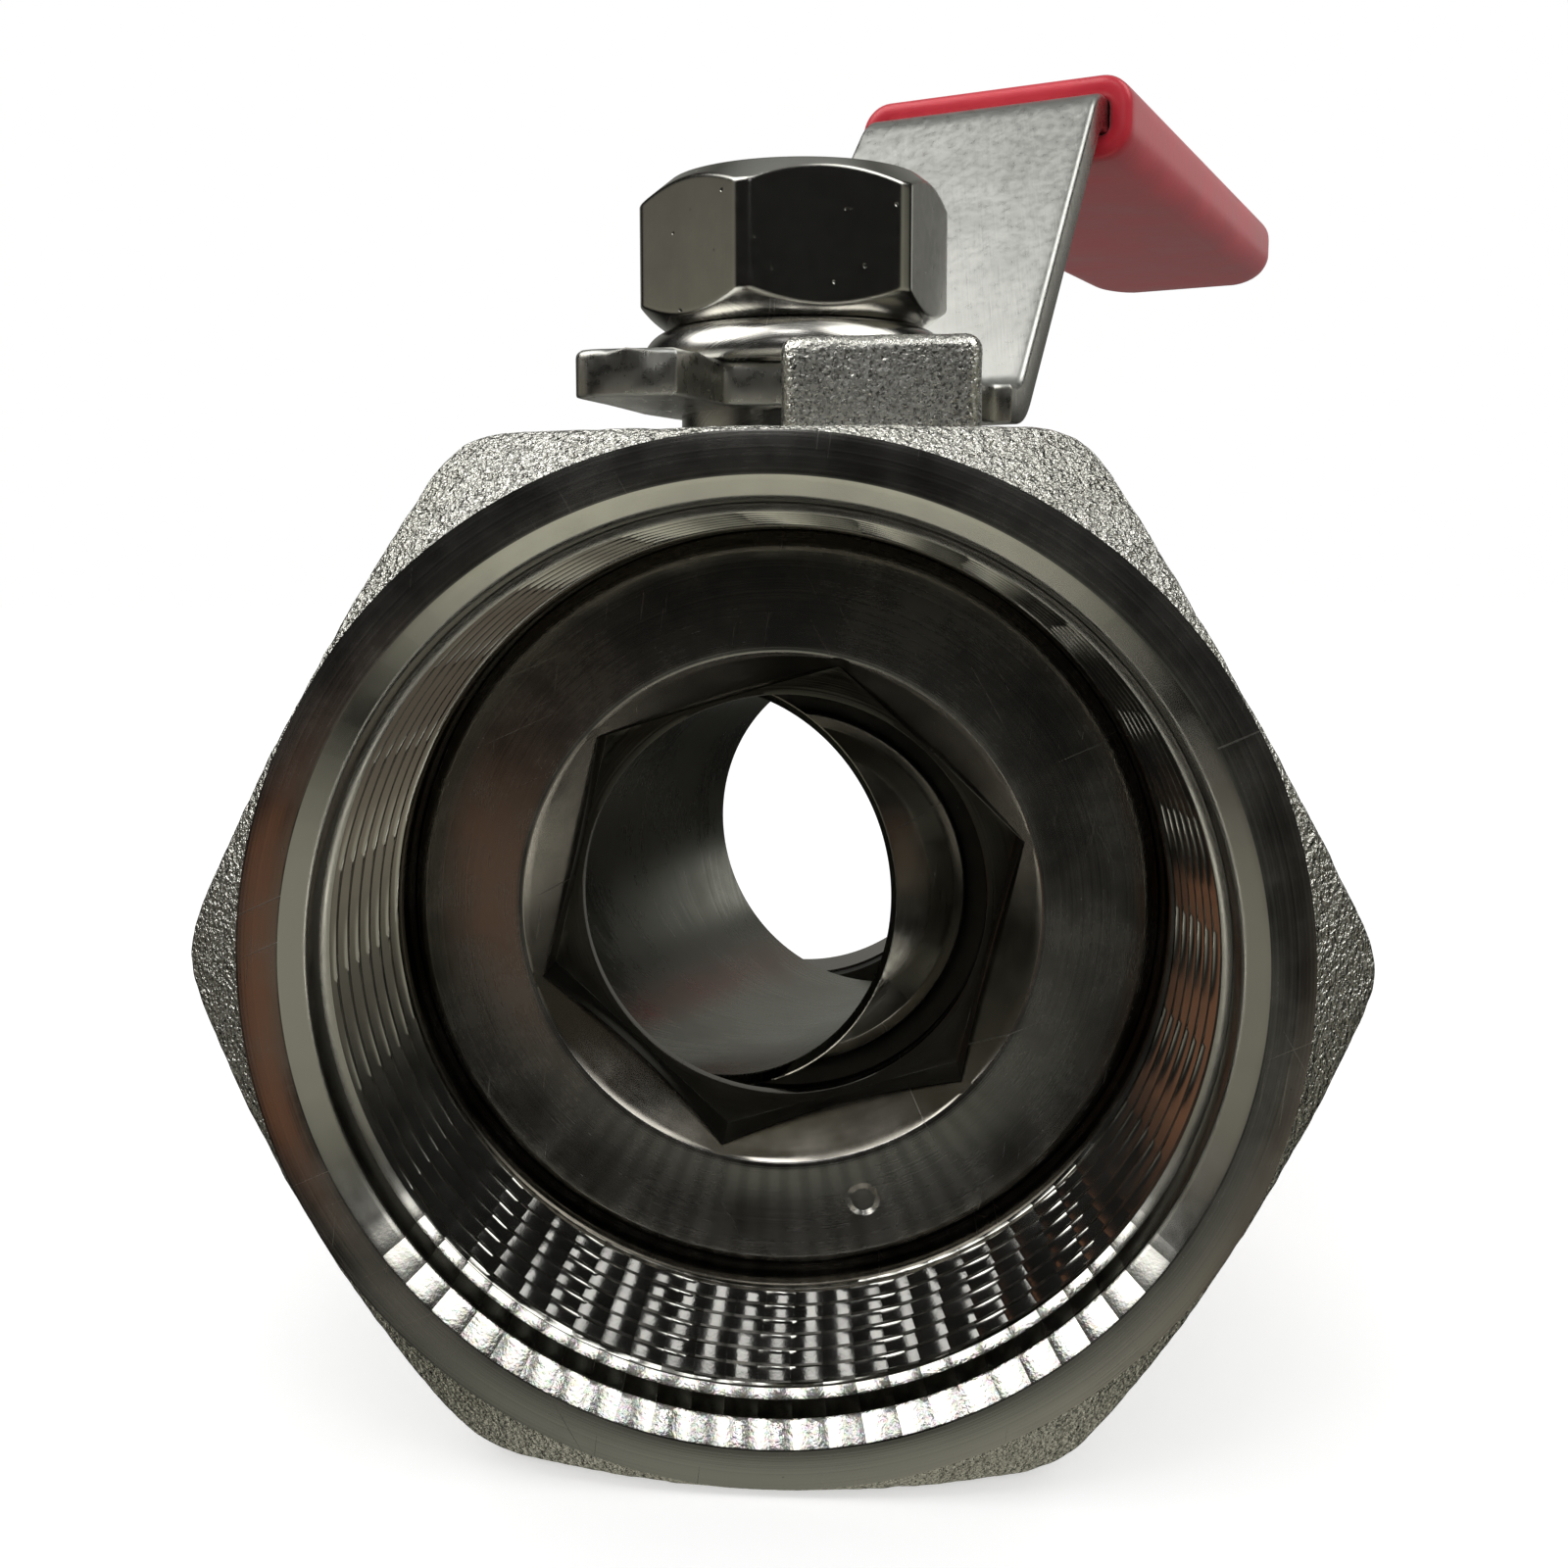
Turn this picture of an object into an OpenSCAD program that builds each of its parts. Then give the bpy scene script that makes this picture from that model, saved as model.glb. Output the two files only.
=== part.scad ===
// Two-inch ball valve, reduced port, one-piece body, female threads, lever operated.
// Units are millimetres. The origin is on the bore axis where the full thread of the
// insert end begins. +Y runs along the bore towards the other end, +Z runs up the stem
// and +X is to the right. Depths are measured from the insert-end face.
// The lever stands partly closed, at lever_angle from the bore.

/* [Body] */
// End-to-end length of the body
body_length = 100; // [96:1:110]
// Width across the hexagon flats
hex_width = 66.5; // [65.5:0.5:70]
// Radius to which the six corners are rounded off
hex_corner_radius = 37.6; // [37:0.1:38.2]
// Length of each hexagonal end
hex_length = 24; // [22:0.5:26]
// Outside radius of the round waist
waist_radius = 31.5; // [31:0.25:32]
// Radius of the machined ring on each end face
face_radius = 31.9; // [31:0.1:32.4]
// Depth lost at the corners for each millimetre outside that ring
face_slope = 0.7; // [0.4:0.05:1]

/* [Pipe threads] */
// Crest radius of the female pipe thread
thread_crest_radius = 28.3; // [28.1:0.05:28.4]
// Radial depth of the thread grooves
thread_depth = 1.3; // [0.9:0.1:1.4]
// Thread pitch
thread_pitch = 2.309; // [2.2:0.001:2.4]
// Depth at which the full thread begins
thread_start = 3.6; // [3.2:0.1:4]
// Depth at which the thread ends
thread_end = 19.8; // [19:0.1:20.2]
// Radius at the outer edge of the mouth chamfer
mouth_radius = 30.1; // [29.9:0.05:30.3]
// Width of the mouth chamfer
mouth_chamfer = 1.25; // [1:0.05:1.4]
// Radius of the plain bore behind the thread
relief_radius = 27.75; // [27.6:0.05:27.9]
// Depth of the port at the far end
outlet_depth = 22; // [21.5:0.5:24]

/* [Cavity] */
// Distance from the end face to the stem axis
stem_offset = 50; // [49:0.5:51]
// Radius of the ball chamber
chamber_radius = 26.2; // [25.8:0.1:26.4]
// Depth of the shoulder that takes the insert seal
seal_shoulder = 32.6; // [32:0.1:33]
// Radius of the seat pockets
pocket_radius = 22.6; // [22:0.1:23]
// Radius of the flow bore
bore_radius = 16; // [15.5:0.1:16.2]

/* [Ball and seats] */
// Radius of the ball
ball_radius = 25; // [24.5:0.1:25.2]
// Radius of the hole through the ball
port_radius = 15.7; // [15:0.1:16]
// Width of the chamfer round each end of the hole
port_chamfer = 0.8; // [0.4:0.1:1]
// Gap between the ball and the seats
seat_gap = 0.3; // [0.2:0.05:0.5]
// Width of the stem slot
slot_width = 8.4; // [8.2:0.1:9]
// Height of the slot floor above the bore axis
slot_floor = 18.6; // [18:0.1:19]

/* [Insert] */
// Depth of the insert's front face
insert_face = 21.3; // [20.8:0.1:21.6]
// Radius of the insert's front rim
insert_rim_radius = 26.85; // [26.5:0.05:27]
// Width across the flats of the hexagon socket
socket_width = 31.9; // [31.5:0.1:32.2]
// Depth of the hexagon socket
socket_depth = 6.1; // [5:0.1:6.3]
// Turn of the socket about the bore
socket_turn = 16.5; // [0:0.5:30]
// Radius of the countersink round the socket
countersink_radius = 19; // [18.7:0.1:19.5]
// Radius of the hole through the insert
insert_bore_radius = 15.45; // [15:0.05:15.8]

/* [Stem] */
// Radius of the stem
stem_radius = 8; // [7.9:0.05:8]
// Radius of the blow-out collar
collar_radius = 10.8; // [10:0.1:10.9]
// Width across the flats at the top of the stem
stem_flats = 11.6; // [11:0.1:12]
// Thickness of the tang
tang_thickness = 7.8; // [7.5:0.1:7.9]
// Height of the stem's top end
stem_top = 56.8; // [56:0.1:57.2]
// Radius of the packing chamber
packing_radius = 11.5; // [11.3:0.1:11.6]
// Radius of the neck of the gland
gland_radius = 9.8; // [9.5:0.1:10.2]
// Height of the stem boss
boss_top = 35.6; // [35.2:0.1:35.8]
// Radius of the stem boss
boss_radius = 15; // [14.5:0.1:15]
// Spread of the boss's flared foot
boss_flare = 8; // [6:0.5:9]

/* [Stop post] */
// Left face of the post
post_left = -0.2; // [-0.4:0.05:0]
// Width of the post
post_width = 14.9; // [14.4:0.1:14.9]
// Distance from the stem axis to the back of the post
post_back = 13.4; // [13.3:0.1:14]
// Depth of the post along the bore
post_depth = 9; // [8:0.1:9.2]
// Height of the post's top
post_top = 42.1; // [41.5:0.1:42.4]
// Rounding of the post's edges
post_round = 1.2; // [0.8:0.1:1.6]

/* [Lever] */
// Turn of the lever from the bore
lever_angle = 22.5; // [2:0.5:80]
// Turn that the stem's play takes up before the ball follows
lever_play = 1.5; // [0:0.1:1.5]
// Thickness of the lever
lever_thickness = 3.6; // [3.4:0.1:4]
// Width of the arm at its root
arm_width = 28.8; // [28.4:0.1:29]
// Width of the arm at the mouth of the sleeve
arm_neck_width = 25.8; // [25:0.1:27]
// Width of the arm at its far end
arm_tip_width = 22.6; // [20:0.2:24]
// Underside of the lever at the stem
plate_bottom = 38; // [37.9:0.05:38.2]
// Distance from the stem to the foot of the riser
riser_start = 17.2; // [16.8:0.1:18]
// Slope of the riser
riser_angle = 49; // [46:0.5:50]
// Top of the grip
grip_top = 74.8; // [73:0.1:76]
// Distance from the stem to the end of the arm
arm_end = 144.8; // [130:0.4:146]
// Inside radius of both bends
bend_radius = 3; // [2.5:0.5:4]

/* [Sleeve] */
// Wall of the sleeve
sleeve_wall = 2.6; // [2.2:0.1:2.8]
// Distance from the stem to the mouth of the sleeve
sleeve_start = 51.4; // [50.6:0.2:54]
// Rounding of the sleeve's long edges
sleeve_round = 3.4; // [2.5:0.1:3.6]
// Rounding of the sleeve's closed end, seen from above
sleeve_end_round = 10; // [8:0.5:12]

/* [Nut and washer] */
// Width across the flats of the nut
nut_width = 23.7; // [23.2:0.1:24]
// Radius to which the corners of the nut are turned
nut_corner_radius = 13.35; // [13:0.05:13.5]
// Underside of the nut
nut_bottom = 45.1; // [45.05:0.05:45.4]
// Top of the nut
nut_top = 57.4; // [57.2:0.1:58]
// Turn of the nut
nut_turn = 16; // [0:1:30]
// Outside radius of the spring washer
washer_radius = 13.1; // [12.6:0.1:13.4]
// Thickness of the spring washer
washer_thickness = 1.7; // [1.4:0.1:1.8]

/* [Hidden] */
$fn = 96;
fit = 0.05;
thread_bridge = 8;
hex_half = hex_width / 2;
back_face = body_length;
plate_top = plate_bottom + lever_thickness;
washer_rise = nut_bottom - plate_top - washer_thickness;
post_front = stem_offset - post_back - post_depth;
post_foot = 26;
// Flats round each bend of the lever
bend_steps = 10;
chamber_end = 66;
stem_bore_bottom = 15;
collar_bore_radius = 11.05;
insert_thread_start = 24.1;
insert_thread_end = 31;
insert_pitch = 1.5;
countersink_depth = 4.6;
countersink_step = 4.6;
collar_bottom = 25.4;
collar_top = 27.4;
web_bottom = 28.6;
web_top = 30.2;
packing_height = 1.75;
gland_step = 35.25;
seat_back = 28.6;
seat_front = 35.2;
steel = [0.62, 0.61, 0.58];
bright = [0.75, 0.75, 0.74];
polished = [0.85, 0.85, 0.84];
ptfe = [0.93, 0.92, 0.86];
red = [0.72, 0.07, 0.12];

// Lays a shape made along +Z down so that its +Z runs along the bore, +Y.
module along_bore() {
    rotate([-90, 0, 0]) children();
}

// Puts a shape made about the origin on the stem axis.
module on_stem(turn = 0) {
    translate([0, stem_offset, 0]) rotate([0, 0, -turn]) children();
}

// Moves a shape whose depths start at the insert-end face into the valve's own frame.
module from_face() {
    translate([0, -thread_start, 0]) children();
}

// Places children mirrored about the middle of the body's length.
module both_ends() {
    children();
    translate([0, back_face, 0]) mirror([0, 1, 0]) children();
}

// Hexagonal end, one flat facing up, with its corners sloped back from the machined ring.
module hex_end() {
    corner = hex_corner_radius;
    intersection() {
        along_bore() cylinder(r = hex_half / cos(30), h = hex_length + 1, $fn = 6);
        along_bore() rotate_extrude() polygon([
            [0, 0],
            [face_radius, 0],
            [corner, (corner - face_radius) * face_slope],
            [corner, hex_length - (corner - waist_radius) / 2],
            [waist_radius - 2, hex_length + 1],
            [0, hex_length + 1]
        ]);
    }
}

// Rectangle with one corner at the origin and rounded corners.
module soft_square(w, h, r) {
    translate([r, 0]) square([w - 2 * r, h]);
    translate([0, r]) square([w, h - 2 * r]);
    for (x = [r, w - r]) {
        for (y = [r, h - r]) {
            translate([x, y]) circle(r = r, $fn = 48);
        }
    }
}

// Rounded block that the lever strikes at each end of its travel.
module stop_post() {
    h = post_top - post_foot;
    translate([post_left, post_front, post_foot]) intersection() {
        linear_extrude(h) soft_square(post_width, post_depth, post_round);
        translate([0, post_depth, 0]) rotate([90, 0, 0]) linear_extrude(post_depth)
            soft_square(post_width, h, post_round);
        rotate([90, 0, 90]) linear_extrude(post_width) soft_square(post_depth, h, post_round);
    }
}

// Space cut by one pipe thread: mouth chamfer, plain entry, grooves and relief.
// A groove stops a few degrees short of closing, so the crests stay one wall.
module pipe_port(depth) {
    groove = thread_pitch * 0.46;
    grooves = 2 * floor((thread_end - thread_start) / thread_pitch / 2);
    first = (thread_start + thread_end - (grooves - 1) * thread_pitch) / 2;
    along_bore() {
        rotate_extrude() polygon([
            [0, -1],
            [mouth_radius + 1, -1],
            [mouth_radius, 0],
            [mouth_radius - mouth_chamfer, mouth_chamfer],
            [thread_crest_radius + 0.4, thread_start - 0.45],
            [thread_crest_radius, thread_start],
            [thread_crest_radius, thread_end],
            [relief_radius, thread_end + 0.2],
            [relief_radius, depth],
            [0, depth]
        ]);
        for (k = [0:grooves - 1]) {
            translate([0, 0, first + k * thread_pitch]) rotate(90 + thread_bridge / 2)
                rotate_extrude(angle = 360 - thread_bridge) polygon([
                [thread_crest_radius - 1, -groove],
                [thread_crest_radius, -groove],
                [thread_crest_radius + thread_depth, -0.12],
                [thread_crest_radius + thread_depth, 0.12],
                [thread_crest_radius, groove],
                [thread_crest_radius - 1, groove]
            ]);
        }
    }
}

// One-piece casting with both hexagon ends, waist, stem boss and stop post.
module body() {
    pocket_floor = 2 * stem_offset - seat_back;
    outlet_floor = back_face - outlet_depth;
    color(steel) from_face() difference() {
        union() {
            both_ends() hex_end();
            translate([0, hex_length - 3, 0]) along_bore()
                cylinder(r = waist_radius, h = body_length - 2 * hex_length + 6);
            on_stem() cylinder(r = boss_radius, h = boss_top);
            on_stem() cylinder(r1 = boss_radius + boss_flare, r2 = boss_radius - 1, h = 34);
            stop_post();
        }
        pipe_port(seal_shoulder);
        translate([0, back_face, 0]) mirror([0, 1, 0]) pipe_port(outlet_depth);
        translate([0, seal_shoulder - 1, 0]) along_bore()
            cylinder(r = chamber_radius, h = chamber_end - seal_shoulder + 1);
        translate([0, chamber_end - 1, 0]) along_bore()
            cylinder(r = pocket_radius, h = pocket_floor - chamber_end + 1);
        translate([0, pocket_floor - 1, 0]) along_bore()
            cylinder(r = bore_radius, h = outlet_floor - pocket_floor + 2);
        on_stem() {
            translate([0, 0, stem_bore_bottom])
                cylinder(r = collar_bore_radius, h = web_bottom - stem_bore_bottom);
            translate([0, 0, stem_bore_bottom]) cylinder(r = stem_radius + fit, h = 20);
            translate([0, 0, web_top]) cylinder(r = packing_radius, h = 10);
            translate([0, 0, boss_top - 0.5])
                cylinder(r1 = packing_radius, r2 = packing_radius + 0.6, h = 0.6);
        }
    }
}

// Screwed-in retainer with its hexagon socket and the inlet seat pocket.
module insert() {
    spigot = chamber_radius - 0.1;
    thread_r = relief_radius - 0.1;
    color(steel) from_face() difference() {
        along_bore() difference() {
            rotate_extrude() polygon([
                [0, insert_face],
                [insert_rim_radius - 0.6, insert_face],
                [insert_rim_radius, insert_face + 0.6],
                [insert_rim_radius, 23.6],
                [thread_r, insert_thread_start],
                [thread_r, insert_thread_end],
                [spigot, insert_thread_end],
                [spigot, 33],
                [0, 33]
            ]);
            for (k = [0:3]) {
                translate([0, 0, insert_thread_start + 1.1 + insert_pitch * k]) rotate_extrude() polygon([
                    [thread_r + 1, -0.55],
                    [thread_r, -0.55],
                    [thread_r - 0.8, 0],
                    [thread_r, 0.55],
                    [thread_r + 1, 0.55]
                ]);
            }
            translate([0, 0, insert_face - 1]) cylinder(r = insert_bore_radius, h = 20);
            translate([0, 0, seat_back]) cylinder(r = pocket_radius, h = 10);
            translate([0, 0, insert_face - 0.01])
                cylinder(r1 = countersink_radius, r2 = countersink_radius - countersink_step,
                    h = countersink_depth);
        }
        translate([0, insert_face - 1, 0]) rotate([0, -socket_turn, 0]) along_bore()
            cylinder(r = socket_width / 2 / cos(30), h = socket_depth + 1, $fn = 6);
        translate([6.2, insert_face, -21.6]) along_bore() sphere(r = 0.7, $fn = 32);
    }
}

// Flat ring squeezed between the insert and the body's shoulder.
module insert_seal() {
    color(ptfe) from_face() translate([0, insert_thread_end, 0]) along_bore() difference() {
        cylinder(r = relief_radius - 0.1, h = seal_shoulder - insert_thread_end);
        translate([0, 0, -1]) cylinder(r = chamber_radius, h = 5);
    }
}

// Seat ring with a spherical face that follows the ball.
module seat() {
    difference() {
        along_bore() rotate_extrude() polygon([
            [bore_radius + 0.2, seat_back],
            [pocket_radius - 0.1, seat_back],
            [pocket_radius - 0.1, seat_front - 0.6],
            [pocket_radius - 0.7, seat_front],
            [bore_radius + 0.2, seat_front]
        ]);
        translate([0, stem_offset, 0]) sphere(r = ball_radius + seat_gap, $fn = 96);
    }
}

module inlet_seat() {
    color(ptfe) from_face() seat();
}

module outlet_seat() {
    color(ptfe) from_face() translate([0, 2 * stem_offset, 0]) mirror([0, 1, 0]) seat();
}

// Polished ball, its hole along the lever and its slot across it.
module ball() {
    rim = sqrt(pow(ball_radius, 2) - pow(port_radius + port_chamfer, 2));
    color(polished) from_face() on_stem(lever_angle - lever_play) difference() {
        sphere(r = ball_radius, $fn = 128);
        rotate([90, 0, 0]) cylinder(r = port_radius, h = 60, center = true);
        for (m = [0, 1]) {
            mirror([0, m, 0]) translate([0, rim - port_chamfer, 0]) along_bore()
                cylinder(r1 = port_radius, r2 = port_radius + 3 * port_chamfer,
                    h = 3 * port_chamfer);
        }
        translate([-30, -slot_width / 2, slot_floor]) cube([60, slot_width, 10]);
    }
}

// Stem with its tang, blow-out collar, flats and screwed top.
module stem() {
    tang_half = 9.5;
    color(bright) from_face() on_stem(lever_angle) difference() {
        union() {
            intersection() {
                translate([-tang_half, -tang_thickness / 2, slot_floor + 0.4])
                    cube([2 * tang_half, tang_thickness, collar_bottom - slot_floor]);
                cylinder(r = tang_half, h = 60);
            }
            translate([0, 0, collar_bottom])
                cylinder(r = collar_radius, h = collar_top - collar_bottom);
            translate([0, 0, collar_bottom])
                cylinder(r = stem_radius, h = stem_top - collar_bottom - 1);
            translate([0, 0, stem_top - 1])
                cylinder(r1 = stem_radius, r2 = stem_radius - 1, h = 1);
        }
        for (m = [0, 1]) {
            mirror([m, 0, 0]) translate([stem_flats / 2, -10, plate_bottom - 0.4])
                cube([10, 20, 30]);
        }
        for (k = [0:5]) {
            translate([0, 0, 46.5 + 1.8 * k]) rotate_extrude() polygon([
                [stem_radius + 1, -0.7],
                [stem_radius, -0.7],
                [stem_radius - 0.9, 0],
                [stem_radius, 0.7],
                [stem_radius + 1, 0.7]
            ]);
        }
    }
}

// Plain ring round the stem.
module stem_ring(outer, bottom, height, inner) {
    on_stem() translate([0, 0, bottom]) difference() {
        cylinder(r = outer, h = height);
        translate([0, 0, -1]) cylinder(r = inner, h = height + 2);
    }
}

module thrust_washer() {
    color(ptfe) from_face() stem_ring(collar_radius, collar_top + 0.05, web_bottom - collar_top - 0.1,
        stem_radius + fit);
}

module lower_packing() {
    color(ptfe) from_face() stem_ring(packing_radius - 0.05, web_top, packing_height, stem_radius + fit);
}

module upper_packing() {
    color(ptfe) from_face() stem_ring(packing_radius - 0.05, web_top + packing_height, packing_height,
        stem_radius + fit);
}

// Follower that the lever presses down on the packing.
module gland() {
    bottom = web_top + 2 * packing_height + 0.05;
    color(bright) from_face() on_stem() difference() {
        translate([0, 0, bottom]) {
            cylinder(r = packing_radius - 0.25, h = gland_step - bottom);
            cylinder(r = gland_radius, h = plate_bottom - bottom);
        }
        cylinder(r = stem_radius + 0.1, h = 60);
    }
}

// Half the arm's width at a distance u from the stem.
function arm_half(u) = u < sleeve_start
    ? between(arm_width, arm_neck_width, (u - riser_start) / (sleeve_start - riser_start)) / 2
    : between(arm_neck_width, arm_tip_width, (u - sleeve_start) / (arm_end - sleeve_start)) / 2;

// Value a given share of the way from one value to another.
function between(first, last, share) = first + (last - first) * share;

// Outline of the stamped hub, +Y along the arm: stop tab, the notch that the post
// travels in, the shoulder at the arm's root that strikes it when closed.
module hub_outline() {
    root = arm_width / 2;
    difference() {
        union() {
            circle(r = 10.9);
            translate([-10.3, -9]) square([8, 20]);
            polygon([
                [0.3, -21.9], [-0.5, -12.4], [3.3, -10.3], [9, -5.6], [12.6, 0], [12.6, 13],
                [13, 14.6], [14, 15.2], [root, 15.4], [root, riser_start], [-root, riser_start], [-root, 13.4],
                [-10.3, 4], [-10.3, -8.6], [-9.6, -12], [-8.6, -17.6], [-8, -22.6],
                [-7.3, -24.1], [-6, -24.1], [-3.4, -23.2]
            ]);
        }
        intersection() {
            circle(r = stem_radius + 0.1);
            square([stem_flats + 0.2, 40], center = true);
        }
    }
}

// Strip seen from above: its sides draw in along the riser and then less along the grip.
module arm_plan(height) {
    root = arm_width / 2;
    neck = arm_neck_width / 2;
    tip = arm_tip_width / 2;
    linear_extrude(height) polygon([
        [-root, riser_start - 1], [root, riser_start - 1], [root, riser_start],
        [neck, sleeve_start], [tip, arm_end], [-tip, arm_end], [-neck, sleeve_start],
        [-root, riser_start]
    ]);
}

// Points round part of a circle, angles counted from straight down towards +Y.
function arc(centre, r, from, to) = [
    for (k = [0:bend_steps]) let (q = from + (to - from) * k / bend_steps)
        [centre[0] + r * sin(q), centre[1] - r * cos(q)]
];

// Lever: stamped hub, riser and grip in one strip.
module lever() {
    t = lever_thickness;
    r = bend_radius;
    a = riser_angle;
    // Height gained by the two bends together, and the straight length left between them.
    bends = (2 * r + t) * (1 - cos(a));
    straight = (grip_top - plate_top - bends) / sin(a);
    run = (2 * r + t) * sin(a) + straight * cos(a);
    // Centres of the bends, seen from the side.
    low = [0, plate_top + r];
    high = [run, grip_top - t - r];
    length = arm_end - riser_start;
    color(bright) from_face() on_stem(lever_angle) {
        translate([0, 0, plate_bottom]) linear_extrude(t) hub_outline();
        intersection() {
            arm_plan(100);
            translate([-arm_width, riser_start, 0]) rotate([90, 0, 90])
                linear_extrude(2 * arm_width) polygon(concat(
                    [[-1, plate_top], [-1, plate_bottom]],
                    arc(low, r + t, 0, a),
                    arc(high, r, 180 + a, 180),
                    [[length + 1, grip_top - t], [length + 1, grip_top]],
                    arc(high, r + t, 180, 180 + a),
                    arc(low, r, a, 0)
                ));
        }
    }
}

// Outline of the sleeve from above.
module sleeve_plan(start, end, wall, r) {
    far = arm_half(end) + wall;
    near = arm_half(start) + wall;
    for (x = [-1, 1]) {
        translate([x * (far - r), end - r]) circle(r = r);
    }
    polygon([
        [-near, start], [near, start], [far, end - r], [far - r, end], [r - far, end],
        [-far, end - r]
    ]);
}

// Dipped sleeve, open at the riser and closed at the far end.
module sleeve() {
    h = lever_thickness + 2 * sleeve_wall;
    mid = grip_top - lever_thickness / 2;
    end = arm_end + sleeve_wall + 1.4;
    wide = arm_half(sleeve_start) + sleeve_wall;
    gap = 0.1;
    color(red) from_face() on_stem(lever_angle) difference() {
        intersection() {
            translate([-wide, sleeve_start, mid + h / 2]) along_bore()
                linear_extrude(end - sleeve_start) soft_square(2 * wide, h, sleeve_round);
            translate([0, 0, mid - h]) linear_extrude(2 * h)
                sleeve_plan(sleeve_start - 1, end, sleeve_wall, sleeve_end_round);
        }
        translate([0, 0, mid - lever_thickness / 2 - gap]) linear_extrude(lever_thickness + 2 * gap)
            polygon([
                [-arm_half(sleeve_start - 1) - gap, sleeve_start - 1],
                [arm_half(sleeve_start - 1) + gap, sleeve_start - 1],
                [arm_half(arm_end) + gap, arm_end + gap],
                [-arm_half(arm_end) - gap, arm_end + gap]
            ]);
    }
}

// Conical spring washer between the lever and the nut.
module spring_washer() {
    inner = stem_radius + 0.3;
    color(polished) from_face() on_stem() translate([0, 0, plate_top]) rotate_extrude() polygon([
        [inner, washer_rise],
        [washer_radius - 0.3, 0],
        [washer_radius, 0.3],
        [washer_radius, washer_thickness - 0.4],
        [washer_radius - 0.4, washer_thickness],
        [inner + 2.4, washer_rise + washer_thickness],
        [inner, washer_rise + washer_thickness]
    ]);
}

// Hexagon nut, chamfered on both faces.
module stem_nut() {
    color(bright) from_face() on_stem(nut_turn) difference() {
        intersection() {
            translate([0, 0, nut_bottom]) rotate(30)
                cylinder(r = nut_width / 2 / cos(30), h = nut_top - nut_bottom, $fn = 6);
            rotate_extrude() polygon([
                [0, nut_bottom],
                [10.9, nut_bottom],
                [nut_corner_radius, nut_bottom + 1.9],
                [nut_corner_radius, nut_top - 2],
                [10.8, nut_top],
                [0, nut_top]
            ]);
        }
        cylinder(r = stem_radius + fit, h = 70);
        translate([0, 0, nut_top - 0.8]) cylinder(r1 = stem_radius, r2 = stem_radius + 1, h = 1);
    }
}

body();
insert();
insert_seal();
inlet_seat();
outlet_seat();
ball();
stem();
thrust_washer();
lower_packing();
upper_packing();
gland();
lever();
sleeve();
spring_washer();
stem_nut();
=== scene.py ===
"""Looks for the ball valve: meshes and finishes of every piece, camera, light and floor."""

import math

import bmesh
import bpy
import numpy as np
from mathutils import Matrix, Vector, noise


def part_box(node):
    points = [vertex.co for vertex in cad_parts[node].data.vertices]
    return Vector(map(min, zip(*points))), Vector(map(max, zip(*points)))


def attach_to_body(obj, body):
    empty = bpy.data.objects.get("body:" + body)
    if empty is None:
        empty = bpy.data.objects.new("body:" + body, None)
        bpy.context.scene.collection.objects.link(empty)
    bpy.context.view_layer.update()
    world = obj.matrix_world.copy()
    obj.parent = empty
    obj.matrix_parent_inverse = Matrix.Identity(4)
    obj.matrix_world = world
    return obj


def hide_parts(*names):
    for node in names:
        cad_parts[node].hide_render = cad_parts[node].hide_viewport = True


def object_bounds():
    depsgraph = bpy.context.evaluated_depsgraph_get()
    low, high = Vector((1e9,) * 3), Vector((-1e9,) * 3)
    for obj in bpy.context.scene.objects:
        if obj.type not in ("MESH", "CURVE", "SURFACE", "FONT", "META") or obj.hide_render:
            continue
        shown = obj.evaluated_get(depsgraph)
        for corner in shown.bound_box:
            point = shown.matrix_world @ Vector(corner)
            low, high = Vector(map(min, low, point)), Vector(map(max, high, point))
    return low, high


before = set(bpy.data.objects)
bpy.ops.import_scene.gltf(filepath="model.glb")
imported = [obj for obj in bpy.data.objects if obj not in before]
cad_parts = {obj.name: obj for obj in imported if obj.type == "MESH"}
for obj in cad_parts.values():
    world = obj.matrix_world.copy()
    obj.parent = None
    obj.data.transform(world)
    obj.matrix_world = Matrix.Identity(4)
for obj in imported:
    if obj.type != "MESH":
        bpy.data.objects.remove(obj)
cad_box = [list(corner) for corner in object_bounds()]

MM = 0.001
TAU = 2 * math.pi


# ---------------------------------------------------------------- sizes, in millimetres


def span(node, axis):
    """Lowest and highest coordinate of a CAD node along an axis, in millimetres."""
    low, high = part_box(node)
    return low[axis] / MM, high[axis] / MM


X, Y, Z = 0, 1, 2
FACE, BACK = span("body", Y)
LENGTH = BACK - FACE
HEX_HALF = -span("body", Z)[0]
CORNER_R = span("body", X)[1]
HEX_LENGTH = 24.0
WAIST_R = 31.5
STEM_Y = sum(span("ball", Y)) / 2
STEM = (0.0, STEM_Y)
LEVER_TURN = math.radians(22.5)
BALL_TURN = math.radians(21)
BALL_R = 25.0

# Ports: radii from the bore's axis, depths from the port's own face.
RING_R, RING_INNER_R = 33.05, 30.4
CAST_SLOPE = 0.877
CHAMFER_DEPTH, WALL_DEPTH = 1.4, 3.7
MOUTH_R = 29.0
CREST_R = 28.36
PITCH = 2.309
THREAD_DEPTH = 1.28
THREAD_START, THREAD_END = 4.4, 19.8
RELIEF_R = 27.75
OUTLET_DEPTH = 22.0

# Inside, with depths from the insert's end.
BORE_R = 16.0
POCKET_R, POCKET_END = 22.6, 71.5
CHAMBER_R, CHAMBER_END = 26.2, 65.0
SEAL_SHOULDER = 32.6
INSERT_FACE = 21.3

# Chatter marks to a turn on the cut edges, the thread and the insert.
CHATTER = 84


# ---------------------------------------------------------------- mesh helpers


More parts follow.
